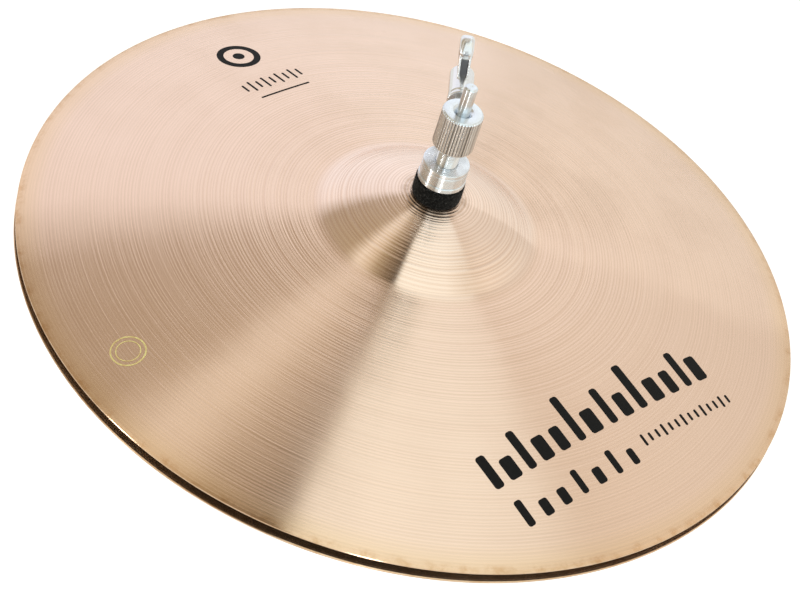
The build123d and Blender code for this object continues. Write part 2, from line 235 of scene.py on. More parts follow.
def lathe_grooves(tree, point, radius):
    """The surface direction in lathe grooves, how high each spot of a groove stands, and their depth."""
    drift = product(tree, noise_of(tree, point, 9.0, 1.0), GROOVE_DRIFT)
    wandering = math_node(tree, "ADD", radius, drift)
    jitter = product(tree, noise_along(tree, wandering, 330.0, 2.0), GROOVE_JITTER)
    phase = math_node(tree, "MULTIPLY_ADD", wandering, 2 * math.pi / GROOVE_PITCH, jitter)
    wave = math_node(tree, "SINE", phase)
    fine = noise_along(tree, wandering, FINE_GROOVES_PER_METRE, 1.0)
    bands = remap(tree, noise_along(tree, radius, 110.0, 2.0), 0.33, 0.67, 0.55, 1.0)
    bow = remap(tree, radius, *OUTER_GROOVE_RADII, 1.0, OUTER_GROOVE_DEPTH)
    bell = remap(tree, radius, FILLET_START, FILLET_END, BELL_GROOVE_DEPTH, 1.0)
    deep = product(tree, bands, bow, bell)
    coarse_tilt = product(tree, wave, deep, GROOVE_TILT)
    fine_tilt = remap(tree, radius, FILLET_START, FILLET_END, BELL_GROOVE_TILT, FINE_GROOVE_TILT)
    either_way = math_node(tree, "SUBTRACT", fine, 0.5)
    tilt = math_node(tree, "MULTIPLY_ADD", either_way, fine_tilt, coarse_tilt)
    lean = node(
        tree, "ShaderNodeVectorMath", {0: outward_from_axis(tree, point), "Scale": tilt},
        operation="SCALE",
    ).outputs[0]
    world_lean = node(
        tree, "ShaderNodeVectorTransform", {0: lean},
        vector_type="VECTOR", convert_from="OBJECT", convert_to="WORLD",
    ).outputs[0]
    face = node(tree, "ShaderNodeNewGeometry").outputs["Normal"]
    direction = vector_node(tree, "NORMALIZE", vector_node(tree, "ADD", face, world_lean))
    return direction, math_node(tree, "COSINE", phase), deep


def bronze(name, fresh, bell_tone, groove_shade_tone):
    """Bright lathed bronze: rings of uneven grooves that smear each reflection along the radius, with
    painted shade at each groove's foot.
    """
    material, tree, shader = new_material(
        name, Metallic=1.0, Anisotropic=1.0, Anisotropic_Rotation=SMEAR_ACROSS_GROOVES,
    )
    radius = distance_from_axis(tree)
    point = object_point(tree)
    direction, height, deep = lathe_grooves(tree, point, radius)
    # painted shade: the colour darkens towards each groove's foot
    shade = product(tree, remap(tree, height, -1.0, 1.0, 1.0, 0.0), deep, GROOVE_SHADE)
    bell = remap(tree, radius, FILLET_START, FILLET_END, 1.0, 0.0)
    metal = mix_colour(tree, shade, mix_colour(tree, bell, fresh, bell_tone), groove_shade_tone)
    edge = remap(tree, radius, *RIM_GOLD_RADII, 0.0, RIM_GOLD_SHARE)
    golden = mix_colour(tree, edge, metal, RIM_BRONZE)
    patches = remap(tree, noise_of(tree, point, 130.0, 5.0, 0.7), 0.42, 0.75, 0.15, 0.9)
    outermost = remap(tree, radius, *TARNISH_RADII, 0.0, TARNISH_SHARE)
    stained = mix_colour(tree, product(tree, outermost, patches), golden, TARNISH)
    rubbed = remap(tree, radius, *FELT_MARK_RADII, FELT_MARK_SHARE, 0.0)
    marked = mix_colour(tree, product(tree, rubbed, patches), stained, FELT_MARK_BROWN)
    bell_gloss = remap(tree, radius, FILLET_START, FILLET_END, -BELL_POLISH, 0.0)
    smears = remap(tree, noise_of(tree, point, 40.0, 3.0), 0.35, 0.7, *BRONZE_ROUGHNESS)
    gloss = math_node(tree, "ADD", smears, bell_gloss)
    tangent = node(tree, "ShaderNodeTangent", direction_type="RADIAL", axis="Z").outputs[0]
    connect(tree, shader, Base_Color=marked, Roughness=gloss, Normal=direction, Tangent=tangent)
    return material


def turned_metal(name, colour, roughness, axis="Z", centre=(0, 0, 0), groove=0.004 * MM, **constants):
    """Turned metal: tool rings round its axis smear each reflection across them."""
    material, tree, shader = new_material(name, Metallic=1.0, **constants)
    point = object_point(tree)
    rings = noise_along(tree, distance_from_axis(tree, axis, centre), 2600.0, 2.0)
    scuffs = noise_of(tree, point, 900.0, 3.0, 0.6)
    blotches = remap(tree, noise_of(tree, point, 160.0, 3.0), 0.3, 0.7, 0.0, 1.0)
    dark = tuple(0.88 * c for c in colour[:3]) + (1,)
    rough = math_node(
        tree, "MULTIPLY_ADD", noise_of(tree, point, 420.0, 4.0, 0.6), 0.35 * roughness, 0.8 * roughness
    )
    relief = bump(tree, scuffs, 0.3 * groove, below=bump(tree, rings, groove))
    connect(
        tree, shader, Base_Color=mix_colour(tree, blotches, colour, dark), Roughness=rough, Normal=relief
    )
    if "Anisotropic" in constants:
        shader.inputs["Anisotropic Rotation"].default_value = SMEAR_ACROSS_GROOVES
        tangent = node(tree, "ShaderNodeTangent", direction_type="RADIAL", axis=axis).outputs[0]
        connect(tree, shader, Tangent=tangent)
    return material


def ribbed_metal(name, colour, wear_and_shade, roughness, radius, depth, foot, top):
    """Metal with straight ribs between two heights: bright crests with random wear, and painted shade that
    darkens the valleys.
    """
    material, tree, shader = new_material(name, Metallic=1.0)
    point = object_point(tree)
    out = distance_from_axis(tree)
    height = node(tree, "ShaderNodeSeparateXYZ", {0: point}).outputs["Z"]
    heading = outward_from_axis(tree, point)
    # painted shade: the colour darkens towards the foot of each valley between the ribs
    valley = remap(tree, out, radius - 0.98 * depth, radius - 0.45 * depth, 0.8, 0.0)
    side = remap(tree, out, radius - 2.6 * depth, radius - 1.3 * depth, 0.0, 1.0)
    above = remap(tree, height, foot, foot + RIB_EDGE, 0.0, 1.0)
    below = remap(tree, height, top - RIB_EDGE, top, 1.0, 0.0)
    on_ribs = product(tree, side, above, below)
    valley_shade = product(tree, valley, on_ribs)
    scratches = noise_of(tree, point, 1400.0, 3.0, 0.6)
    dull = remap(tree, noise_of(tree, heading, 7.0, 3.0, 0.7), 0.42, 0.66, 0.0, RIB_DULLNESS)
    worn = mix_colour(tree, product(tree, dull, on_ribs), colour, wear_and_shade)
    crest = mix_colour(tree, product(tree, scratches, 0.2), worn, wear_and_shade)
    connect(
        tree, shader, Base_Color=mix_colour(tree, valley_shade, crest, wear_and_shade),
        Roughness=math_node(tree, "MULTIPLY_ADD", scratches, 0.10, roughness),
        Normal=bump(tree, scratches, 0.002 * MM),
    )
    return material


def chrome(name, haze):
    """Plated casting: bright, slightly wavy under the plating, with faint scratches."""
    material, tree, shader = new_material(name, Metallic=1.0)
    point = object_point(tree)
    waves = noise_of(tree, point, 260.0, 2.0)
    grain = noise_of(tree, point, 1800.0, 3.0, 0.6)
    rough = remap(tree, noise_of(tree, point, 130.0, 4.0, 0.6), 0.35, 0.7, haze, haze + 0.08)
    tint = mix_colour(tree, grain, (0.86, 0.87, 0.89, 1), (0.78, 0.79, 0.81, 1))
    relief = bump(tree, grain, 0.002 * MM, below=bump(tree, waves, 0.012 * MM))
    connect(tree, shader, Base_Color=tint, Roughness=rough, Normal=relief)
    return material


def felt(name, dark, pale, sheen):
    """Pressed wool felt."""
    material, tree, shader = new_material(
        name, Roughness=0.95, Sheen_Weight=sheen, Sheen_Roughness=0.5, Specular_IOR_Level=0.15,
    )
    point = object_point(tree)
    wool = noise_of(tree, point, 1050.0, 5.0, 0.8)
    clumps = noise_of(tree, point, 420.0, 3.0)
    shade = remap(tree, wool, 0.50, 0.70, 0.0, 1.0)
    relief = bump(tree, clumps, 0.25 * MM, 0.6, below=bump(tree, wool, 0.15 * MM, 0.9))
    connect(tree, shader, Base_Color=mix_colour(tree, shade, dark, pale), Normal=relief)
    return material


def plastic(name, colour, roughness):
    """Moulded plastic or rubber with a fine eggshell grain."""
    material, tree, shader = new_material(name, Specular_IOR_Level=0.4)
    point = object_point(tree)
    grain = noise_of(tree, point, 2200.0, 2.0)
    wear = remap(tree, noise_of(tree, point, 120.0, 4.0, 0.6), 0.4, 0.75, 0.0, 1.0)
    pale = tuple(min(1.0, 1.5 * c + 0.01) for c in colour[:3]) + (1,)
    connect(
        tree, shader,
        Base_Color=mix_colour(tree, product(tree, wear, 0.3), colour, pale),
        Roughness=math_node(tree, "MULTIPLY_ADD", wear, 0.15, roughness),
        Normal=bump(tree, grain, 0.01 * MM),
    )
    return material


def ink(name, colour, metallic, roughness):
    """Printed ink, with a slightly uneven film."""
    material, tree, shader = new_material(name, Metallic=metallic, Specular_IOR_Level=0.15)
    point = object_point(tree)
    film = remap(tree, noise_of(tree, point, 600.0, 4.0, 0.6), 0.3, 0.75, 0.0, 1.0)
    thin = tuple(min(1.0, 1.6 * c + 0.004) for c in colour[:3]) + (1,)
    connect(
        tree, shader, Base_Color=mix_colour(tree, film, colour, thin),
        Roughness=math_node(tree, "MULTIPLY_ADD", film, 0.15, roughness),
    )
    return material


# ---- Mesh helpers ----
AXIS_RADIUS = 0.02 * MM  # where a solid section closes beside its axis


def mesh_piece(name, shape, material, body, replaced=(), crease=math.radians(35)):
    """A smooth-shaded piece from a shape, its vertices and faces, which rides on a body."""
    corners, faces = shape
    mesh = bpy.data.meshes.new(name)
    mesh.from_pydata(corners, [], faces)
    mesh.validate()
    mesh.shade_smooth()
    mesh.set_sharp_from_angle(angle=crease)
    mesh.materials.append(material)
    piece = bpy.data.objects.new(name, mesh)
    bpy.context.scene.collection.objects.link(piece)
    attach(piece, body)
    if replaced:
        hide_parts(*replaced)
    return piece


def lathe(loop, segments, shape=None, place=None):
    """Vertices and faces of a solid of revolution about Z, from the closed loop of (radius, height) points.

    shape changes a point's radius and height by its angle, and place then moves each vertex.
    """
    corners = []
    for step in range(segments):
        angle = 2 * math.pi * step / segments
        for r, z in loop:
            if shape:
                r, z = shape(r, z, angle)
            corner = Vector((r * math.cos(angle), r * math.sin(angle), z))
            corners.append(place @ corner if place else corner)
    count = len(loop)
    faces = []
    for step in range(segments):
        here, there = step * count, (step + 1) % segments * count
        for k in range(count):
            after = (k + 1) % count
            faces.append((here + k, there + k, there + after, here + after))
    return corners, faces


def rounded(points, radius, steps=3):
    """The closed polygon with each of its corners turned into a small curve."""
    smooth = []
    for k, corner in enumerate(points):
        before = Vector(points[k - 1]) - Vector(corner)
        after = Vector(points[(k + 1) % len(points)]) - Vector(corner)
        reach = min(radius, 0.45 * before.length, 0.45 * after.length)
        start = Vector(corner) + reach * before.normalized()
        end = Vector(corner) + reach * after.normalized()
        for step in range(steps + 1):
            t = step / steps
            smooth.append(tuple((1 - t) ** 2 * start + 2 * t * (1 - t) * Vector(corner) + t * t * end))
    return smooth


def resampled(loop, step):
    """The loop with each straight run split into lengths of at most step."""
    dense = []
    for k, (r, z) in enumerate(loop):
        r_after, z_after = loop[(k + 1) % len(loop)]
        count = max(1, math.ceil(math.hypot(r_after - r, z_after - z) / step))
        dense += [(r + (r_after - r) * i / count, z + (z_after - z) * i / count) for i in range(count)]
    return dense


def screw_thread(radius, start, end, pitch, depth):
    """A right-hand thread, cut in the surface at radius between two heights, for lathe's shape."""
    def shape(r, z, angle):
        if r < radius - 0.02 * MM or not start <= z <= end:
            return r, z
        fade = min(1.0, (z - start) / pitch, (end - z) / pitch)
        phase = z / pitch - angle / (2 * math.pi)
        return r - depth * fade * (0.5 - 0.5 * math.cos(2 * math.pi * phase)), z
    return shape


# ---- Cymbals ----
def arc_centre(start, end, crown):
    """Centre and radius of the arc between two profile points that bulges upwards by crown."""
    run, rise = end[0] - start[0], end[1] - start[1]
    chord = math.hypot(run, rise)
    radius = (chord * chord / 4 + crown * crown) / (2 * crown)
    back = (radius - crown) / chord
    middle = ((start[0] + end[0]) / 2, (start[1] + end[1]) / 2)
    return Vector((middle[0] + rise * back, middle[1] - run * back)), radius


BELL_CENTRE, BELL_ARC = arc_centre(HOLE_EDGE, BELL_FOOT, BELL_CROWN)
BOW_CENTRE, BOW_ARC = arc_centre(BELL_FOOT, RIM_EDGE, BOW_CROWN)


def fillet_centre():
    """Centre of the hollow arc that touches both the bell's arc and the bow's."""
    first, second = BELL_ARC + BELL_FOOT_FILLET, BOW_ARC + BELL_FOOT_FILLET
    across = BOW_CENTRE - BELL_CENTRE
    apart = across.length
    along = (apart * apart + first * first - second * second) / (2 * apart)
    off = math.sqrt(first * first - along * along)
    unit = across / apart
    meetings = [
        BELL_CENTRE + along * unit + side * off * Vector((-unit.y, unit.x)) for side in (-1, 1)
    ]
    return max(meetings, key=lambda p: p.y)


FILLET = fillet_centre()
FILLET_START = BELL_CENTRE.x + (FILLET.x - BELL_CENTRE.x) * BELL_ARC / (BELL_ARC + BELL_FOOT_FILLET)
FILLET_END = BOW_CENTRE.x + (FILLET.x - BOW_CENTRE.x) * BOW_ARC / (BOW_ARC + BELL_FOOT_FILLET)


def dome(r):
    """Height of a cymbal's outer surface at distance r from its axis."""
    if r < FILLET_START:
        return BELL_CENTRE.y + math.sqrt(BELL_ARC ** 2 - (r - BELL_CENTRE.x) ** 2)
    if r < FILLET_END:
        return FILLET.y - math.sqrt(BELL_FOOT_FILLET ** 2 - (r - FILLET.x) ** 2)
    return BOW_CENTRE.y + math.sqrt(BOW_ARC ** 2 - (r - BOW_CENTRE.x) ** 2)


def cymbal_loop(thickness):
    """The closed outline of a cymbal's wall, from the hole out over the top and back underneath."""
    inner, outer = HOLE_RADIUS + RIM_ROUNDING, CYMBAL_RADIUS - RIM_ROUNDING
    count = round((outer - inner) / CYMBAL_STEP)
    stations = [inner + (outer - inner) * k / count for k in range(count + 1)]
    upper = [(r, dome(r)) for r in stations]
    lower = [(r, dome(r) - thickness) for r in reversed(stations)]
    rim = [(CYMBAL_RADIUS, -0.25 * thickness), (CYMBAL_RADIUS, -0.75 * thickness)]
    hole_height = dome(HOLE_RADIUS)
    hole = [(HOLE_RADIUS, hole_height - 0.7 * thickness), (HOLE_RADIUS, hole_height - 0.3 * thickness)]
    return upper + rim + lower + hole


HAMMER_SCALE = 1 / (17 * MM)
HAMMER_DEPTH = 0.028 * MM


def hammered(seed):
    """Shallow hammer marks, which make reflections waver, for lathe's shape."""
    def shape(r, z, angle):
        spot = Vector((r * math.cos(angle), r * math.sin(angle), seed)) * HAMMER_SCALE
        fade = min(1.0, max(0.0, (r - FILLET_END) / (20 * MM)), (CYMBAL_RADIUS - r) / (6 * MM))
        return r, z + HAMMER_DEPTH * fade * noise.noise(spot)
    return shape


def add_cymbals(bright, inside):
    """Both cymbals. The sides that face each other take a darker bronze, painted shade for the gap between
    them.
    """
    for name, thickness, place, seed in (
        ("top_cymbal", TOP_THICKNESS, TOP_PLACE, 0.0),
        ("bottom_cymbal", BOTTOM_THICKNESS, BOTTOM_PLACE, 3.0),
    ):
        loop = cymbal_loop(thickness)
        corners, faces = lathe(loop, CYMBAL_SEGMENTS, hammered(seed), place)
        faces = [tuple(reversed(f)) for f in faces]
        piece = mesh_piece(
            name + "_lathed", (corners, faces), bright, name, (name,), math.radians(50)
        )
        piece.data.materials.append(inside)
        # the facing sides take the darker bronze: painted shade in the gap between the cymbals
        underside = range(len(loop) // 2 + 1, len(loop) - 3)
        for index, polygon in enumerate(piece.data.polygons):
            if index % len(loop) in underside:
                polygon.material_index = 1


# ---- Felts ----
FELT_BORE = 5.6 * MM
FELT_GAP = 0.3 * MM
FELT_ROUNDING = 1.2 * MM
WOOL_DEPTH = 0.10 * MM
WOOL_SIZE = 1.3 * MM
FIBRE_RADIUS = 0.022 * MM
FIBRE_LENGTH = 0.9 * MM
FUZZY_EDGE = 0.8 * MM  # the rim's depth that loose fibres grow from
SEED = 7


def felt_loop(radius, surface_gap, flat):
    """Section of a felt with one flat face, and the other fitted to the bell plus surface_gap."""
    steps = 8
    fitted = [
        (r, dome(r) + surface_gap)
        for r in (FELT_BORE + (radius - FELT_BORE) * k / steps for k in range(steps + 1))
    ]
    corners = [(radius, flat), (FELT_BORE, flat)]
    outline = rounded([fitted[0], fitted[-1], *corners], FELT_ROUNDING, 4)
    return resampled(outline, 0.45 * MM)


def woolly(corner):
    """Moves a point of a felt's surface in or out, as clumps of wool stand."""
    spot = corner / WOOL_SIZE
    return corner - WOOL_DEPTH * (1 + noise.noise(spot)) * noise.noise_vector(spot)


def any_direction(chance):
    return Vector((chance.gauss(0, 1), chance.gauss(0, 1), chance.gauss(0, 1))).normalized()


def fuzz(roots, count, longest, chance):
    """Loose fibres that stand off a felt's surface at some of its outward-facing points."""
    corners, faces = [], []
    for _ in range(count):
        root, outward = chance.choice(roots)
        heading = (outward + 0.9 * any_direction(chance)).normalized()
        curl = any_direction(chance)
        length = longest * chance.uniform(0.3, 1.0)
        side = heading.cross(curl).normalized()
        other = heading.cross(side)
        first = len(corners)
        for step in range(4):
            t = step / 3
            middle = root + length * (t * heading + 0.35 * t * t * curl)
            width = FIBRE_RADIUS * (1 - 0.5 * t)
            for turn in (0, 2 * math.pi / 3, 4 * math.pi / 3):
                corners.append(middle + width * (math.cos(turn) * side + math.sin(turn) * other))
        for step in range(3):
            for k in range(3):
                here, there = first + 3 * step + k, first + 3 * step + (k + 1) % 3
                faces.append((here, there, there + 3, here + 3))
        faces.append((first + 9, first + 10, first + 11))
    return corners, faces


def add_felt(name, body, loop, place, wool, loose, fibres, chance):
    """A felt ring with an uneven woolly surface, and the loose fibres round its side."""
    segments = 200 if fibres else 120
    corners, faces = lathe(loop, segments, None, place)
    widest = max(r for r, _ in loop)
    roots = []
    for corner in corners:
        outward = Vector((corner.x, corner.y, 0))
        if outward.length > widest - FUZZY_EDGE:
            roots.append((corner, outward.normalized()))
    corners = [woolly(c) for c in corners]
    mesh_piece(name + "_wool", (corners, faces), wool, body, (name,), math.radians(70))
    mesh_piece(name + "_fuzz", fuzz(roots, fibres, FIBRE_LENGTH, chance), loose, body, ())


def add_felts(wool, loose):
    """The three felts, whose wool and loose fibres come out the same in every run."""
    noise.seed_set(SEED)
    chance = random.Random(SEED)
    upper_flat = high("upper_felt").z - TOP_RIM_EDGE
    lower_flat = low("lower_felt").z - TOP_RIM_EDGE
    seat_flat = BOTTOM_RIM_EDGE - low("seat_felt").z
    for name, body, gap, flat, place, fibres in (
        ("upper_felt", "clutch", FELT_GAP, upper_flat, TOP_PLACE, 1500),
        ("lower_felt", "lower_felt", -TOP_THICKNESS - FELT_GAP, lower_flat, TOP_PLACE, 500),
        ("seat_felt", "seat", FELT_GAP, seat_flat, BOTTOM_PLACE, 700),
    ):
        loop = felt_loop(radius_of(name), gap, flat)
        add_felt(name, body, loop, place, wool, loose, fibres, chance)


# ---- Clutch ----
ROD_BORE = 3.25 * MM
NUT_BORE = 5.35 * MM
SLEEVE_RADIUS = 5.3 * MM
SLEEVE_BORE = 4.0 * MM
SLEEVE_PITCH = 1.0 * MM
SLEEVE_THREAD_DEPTH = 0.55 * MM
SLEEVE_SOCKET_DEPTH = 6.0 * MM
BODY_RADIUS = 9.75 * MM
BODY_RIBS = 40
BODY_RIB_DEPTH = 0.5 * MM
BODY_BEVEL = 0.8 * MM
ROD_MOUTH_RADIUS = 4.9 * MM
ROD_MOUTH_DEPTH = 1.4 * MM
BOTTOM_NUT_RADIUS = 11.6 * MM
BOTTOM_NUT_RIBS = 32
SCREW_CENTRE = (0.0, 0.0, 151.8 * MM)
SCREW_HOLE_RADIUS = 3.0 * MM
DRILL_REACH = 12 * MM  # from the rod's axis, past the body's side
DRILL_SEGMENTS = 48


def ribs(radius, count, depth):
    """Rounded upright ribs with sharp valleys between them, cut in from radius, for lathe's shape."""
    def shape(r, z, angle):
        valley = 1 - abs(math.cos(count * angle / 2))
        crest = 1 - abs(math.sin(count * angle / 2))
        return min(r, radius - depth * crest ** 1.5 * (1 - 0.2 * valley)), z
    return shape


def ring_loop(outer, inner, foot, top, rounding):
    return rounded([(inner, foot), (outer, foot), (outer, top), (inner, top)], rounding)


def drilled(piece, start, end, radius):
    """Cuts a round hole through a finished piece, from start to end."""
    start, end = Vector(start), Vector(end)
    turn = (end - start).to_track_quat("Z", "Y").to_matrix().to_4x4()
    cylinder = bmesh.new()
    bmesh.ops.create_cone(
        cylinder, cap_ends=True, segments=DRILL_SEGMENTS, radius1=radius, radius2=radius,
        depth=(end - start).length, matrix=Matrix.Translation((start + end) / 2) @ turn,
    )
    mesh = bpy.data.meshes.new("drill")
    cylinder.to_mesh(mesh)
    cylinder.free()
    drill = bpy.data.objects.new("drill", mesh)
    bpy.context.scene.collection.objects.link(drill)
    cut = piece.modifiers.new("hole", "BOOLEAN")
    cut.object = drill
    cut.operation = "DIFFERENCE"
    cut.solver = "EXACT"
    apply_modifiers(piece)
    bpy.data.objects.remove(drill)


def apply_modifiers(piece):
    """Makes the mesh that a piece's modifiers show its own."""
    graph = bpy.context.evaluated_depsgraph_get()
    graph.update()
    made = bpy.data.meshes.new_from_object(piece.evaluated_get(graph))
    piece.modifiers.clear()
    piece.data = made


def add_clutch(aluminium, ribbed, polished, steel):
    foot, top = low("clutch_body").z, high("clutch_body").z
    body_loop = rounded([
        (SLEEVE_RADIUS, foot), (BODY_RADIUS - BODY_BEVEL, foot), (BODY_RADIUS, foot + BODY_BEVEL),
        (BODY_RADIUS, top - BODY_BEVEL), (BODY_RADIUS - BODY_BEVEL, top), (ROD_MOUTH_RADIUS, top),
        (ROD_BORE, top - ROD_MOUTH_DEPTH), (ROD_BORE, foot + SLEEVE_SOCKET_DEPTH),
        (SLEEVE_RADIUS, foot + SLEEVE_SOCKET_DEPTH),
    ], 0.25 * MM)
    shape = lathe(
        resampled(body_loop, 2.5 * MM), 12 * BODY_RIBS, ribs(BODY_RADIUS, BODY_RIBS, BODY_RIB_DEPTH)
    )
    body = mesh_piece(
        "clutch_body_ribbed", shape, ribbed[0], "clutch", ("clutch_body",)
    )
    drilled(body, SCREW_CENTRE, (0, DRILL_REACH, SCREW_CENTRE[2]), SCREW_HOLE_RADIUS)
    sleeve_foot, sleeve_top = low("clutch_sleeve").z, high("clutch_sleeve").z
    sleeve_loop = resampled(
        ring_loop(SLEEVE_RADIUS, SLEEVE_BORE, sleeve_foot, sleeve_top, 0.3 * MM), SLEEVE_PITCH / 7
    )
    thread = screw_thread(SLEEVE_RADIUS, sleeve_foot, sleeve_top, SLEEVE_PITCH, SLEEVE_THREAD_DEPTH)
    mesh_piece(
        "clutch_sleeve_threaded", lathe(sleeve_loop, 72, thread), polished, "clutch",
        ("clutch_sleeve",), math.radians(75),
    )
    for name, body_name, rounding, metal, slot_name in (
        ("clamp_washer", "clamp_washer", 0.55, aluminium, "aluminium"),
        ("clamp_nut", "clamp_nuts", 0.4, aluminium, "aluminium"),
        ("jam_nut", "clamp_nuts", 0.4, aluminium, "aluminium"),
        ("lower_washer", "lower_felt", 0.35, steel, "steel"),
    ):
        loop = ring_loop(radius_of(name), NUT_BORE, low(name).z, high(name).z, rounding * MM)
        shape = lathe(resampled(loop, 1.5 * MM), 160)
        mesh_piece(name + "_turned", shape, metal, body_name, (name,))
    loop = ring_loop(
        BOTTOM_NUT_RADIUS, NUT_BORE, low("bottom_nut").z, high("bottom_nut").z, 0.9 * MM
    )
    shape = lathe(
        resampled(loop, 2 * MM), 12 * BOTTOM_NUT_RIBS,
        ribs(BOTTOM_NUT_RADIUS, BOTTOM_NUT_RIBS, BODY_RIB_DEPTH),
    )
    mesh_piece("bottom_nut_ribbed", shape, ribbed[1], "bottom_nut", ("bottom_nut",))


# ---- Pull rod ----
ROD_RADIUS = 3.175 * MM
ROD_TIP_CHAMFER = 0.6 * MM
FOOT_THREAD_RADIUS = 3.0 * MM
FOOT_THREAD_PITCH = 1.0 * MM
FOOT_THREAD_DEPTH = 0.5 * MM
FREE_THREAD_LENGTH = 12.5 * MM
RELIEF_RADIUS = 2.55 * MM
RELIEF_LENGTH = 0.6 * MM
LOCK_NUT_THICKNESS = 5.0 * MM


def add_rod(steel):
    foot, top = low("pull_rod").z, high("pull_rod").z
    relief = foot + FREE_THREAD_LENGTH
    nut_foot = relief + RELIEF_LENGTH
    shank = nut_foot + LOCK_NUT_THICKNESS
    profile = [
        (AXIS_RADIUS, foot), (FOOT_THREAD_RADIUS, foot), (FOOT_THREAD_RADIUS, relief),
        (RELIEF_RADIUS, relief), (RELIEF_RADIUS, nut_foot), (FOOT_THREAD_RADIUS, nut_foot),
        (FOOT_THREAD_RADIUS, shank),
        (ROD_RADIUS, shank), (ROD_RADIUS, top - ROD_TIP_CHAMFER), (ROD_RADIUS - ROD_TIP_CHAMFER, top),
        (AXIS_RADIUS, top),
    ]
    thread_part = resampled(rounded(profile[:7], 0.1 * MM), FOOT_THREAD_PITCH / 7)
    shank_part = resampled(rounded(profile[7:], 0.15 * MM), 8 * MM)
    thread = screw_thread(FOOT_THREAD_RADIUS, foot, relief, FOOT_THREAD_PITCH, FOOT_THREAD_DEPTH)
    # points beside the axis are dropped, except at the rod's two ends
    near_end = 1 * MM
    loop = [p for p in thread_part if p[0] > 2 * AXIS_RADIUS or p[1] < shank - near_end]
    loop += [p for p in shank_part if p[0] > 2 * AXIS_RADIUS or p[1] > top - near_end]
    mesh_piece("pull_rod_ground", lathe(loop, 64, thread), steel, "pull_rod", ("pull_rod",))


# ---- Wing screw: built upright about Z, with the wing in the plane X = 0, then laid along +Y ----
SCREW_RADIUS = 2.95 * MM
SCREW_PITCH = 1.0 * MM
SCREW_THREAD_DEPTH = 0.42 * MM
HUB_RADIUS = 5.9 * MM
HUB_LENGTH = 22.5 * MM
HUB_END_BEVEL = 1.5 * MM
COLLAR_RADIUS = 6.3 * MM
COLLAR_LENGTH = 2.4 * MM
HUB_GROOVE_RADIUS = 5.3 * MM
HUB_GROOVE_LENGTH = 1.0 * MM
LOBE_SIDE = 15.6 * MM  # of each lobe's centre from the screw's axis
LOBE_OUT = 39.5 * MM  # of each lobe's centre from the rod's axis
LOBE_RADIUS = 6.2 * MM
LOBE_THICKNESS = 6.7 * MM
LOBE_ROUNDING = 2.3 * MM
ROOT_OUT = 33.0 * MM
ROOT_RADIUS = 5.2 * MM
WEB_TIP_THICKNESS = 5.8 * MM
WEB_ROOT_THICKNESS = 5.0 * MM
WEB_CORE_SHARE = 0.62
WEB_CHANNEL_DEPTH = 2.2 * MM
CHANNEL_FLOOR_DEPTH = WEB_CHANNEL_DEPTH - 0.4 * MM
WING_LEAN = math.radians(7.0)
VOXEL = 0.28 * MM
LAY_ALONG_Y = Matrix.Translation(SCREW_CENTRE) @ Matrix.Rotation(-math.pi / 2, 4, "X")


def wing_plate(side, inset, near_face, far_face):
    """A plate of one blade's outline, inset, between two shares of the web's half thickness."""
    circles = (
        ((0.0, ROOT_OUT), ROOT_RADIUS - inset),
        ((side * LOBE_SIDE, LOBE_OUT), LOBE_RADIUS - LOBE_ROUNDING / 3 - inset),
    )
    outline = []
    steps = 72
    for step in range(steps):
        angle = 2 * math.pi * step / steps
        heading = Vector((math.cos(angle), math.sin(angle)))
        centre, radius = max(circles, key=lambda c: Vector(c[0]).dot(heading) + c[1])
        outline.append(Vector(centre) + radius * heading)
    corners = []
    for face in (near_face, far_face):
        for p in outline:
            share = min(1.0, abs(p.x) / LOBE_SIDE)
            thickness = WEB_ROOT_THICKNESS + (WEB_TIP_THICKNESS - WEB_ROOT_THICKNESS) * share
            corners.append(Vector((p.x, face * thickness / 2, p.y)))
    faces = [tuple(range(steps - 1, -1, -1)), tuple(range(steps, 2 * steps))]
    for k in range(steps):
        after = (k + 1) % steps
        faces.append((k, after, steps + after, steps + k))
    return corners, faces


def wing_web(side):
    """A blade's web: two outer plates and a core set back from their edge, which leaves a channel."""
    return [
        wing_plate(side, 0.0, -1.0, -WEB_CORE_SHARE),
        wing_plate(side, WEB_CHANNEL_DEPTH, -1.05 * WEB_CORE_SHARE, 1.05 * WEB_CORE_SHARE),
        wing_plate(side, 0.0, WEB_CORE_SHARE, 1.0),
    ]


def wing_lobe(side):
    """The thick rounded disc at the tip of one blade."""
    loop = rounded([
        (AXIS_RADIUS, -LOBE_THICKNESS / 2), (LOBE_RADIUS, -LOBE_THICKNESS / 2),
        (LOBE_RADIUS, LOBE_THICKNESS / 2), (AXIS_RADIUS, LOBE_THICKNESS / 2),
    ], LOBE_ROUNDING, 6)
    place = Matrix.Translation((side * LOBE_SIDE, 0, LOBE_OUT)) @ Matrix.Rotation(math.pi / 2, 4, "X")
    return lathe(resampled(loop, 1 * MM), 64, None, place)


def wing_hub():
    start = low("wing_handle").y
    collar = start + COLLAR_LENGTH
    groove = collar + HUB_GROOVE_LENGTH
    end = start + HUB_LENGTH
    loop = rounded([
        (AXIS_RADIUS, start), (COLLAR_RADIUS, start), (COLLAR_RADIUS, collar), (HUB_GROOVE_RADIUS, collar),
        (HUB_GROOVE_RADIUS, groove), (HUB_RADIUS, groove), (HUB_RADIUS, end - HUB_END_BEVEL),
        (HUB_RADIUS - HUB_END_BEVEL, end), (AXIS_RADIUS, end),
    ], 0.35 * MM)
    return lathe(resampled(loop, 1 * MM), 96)


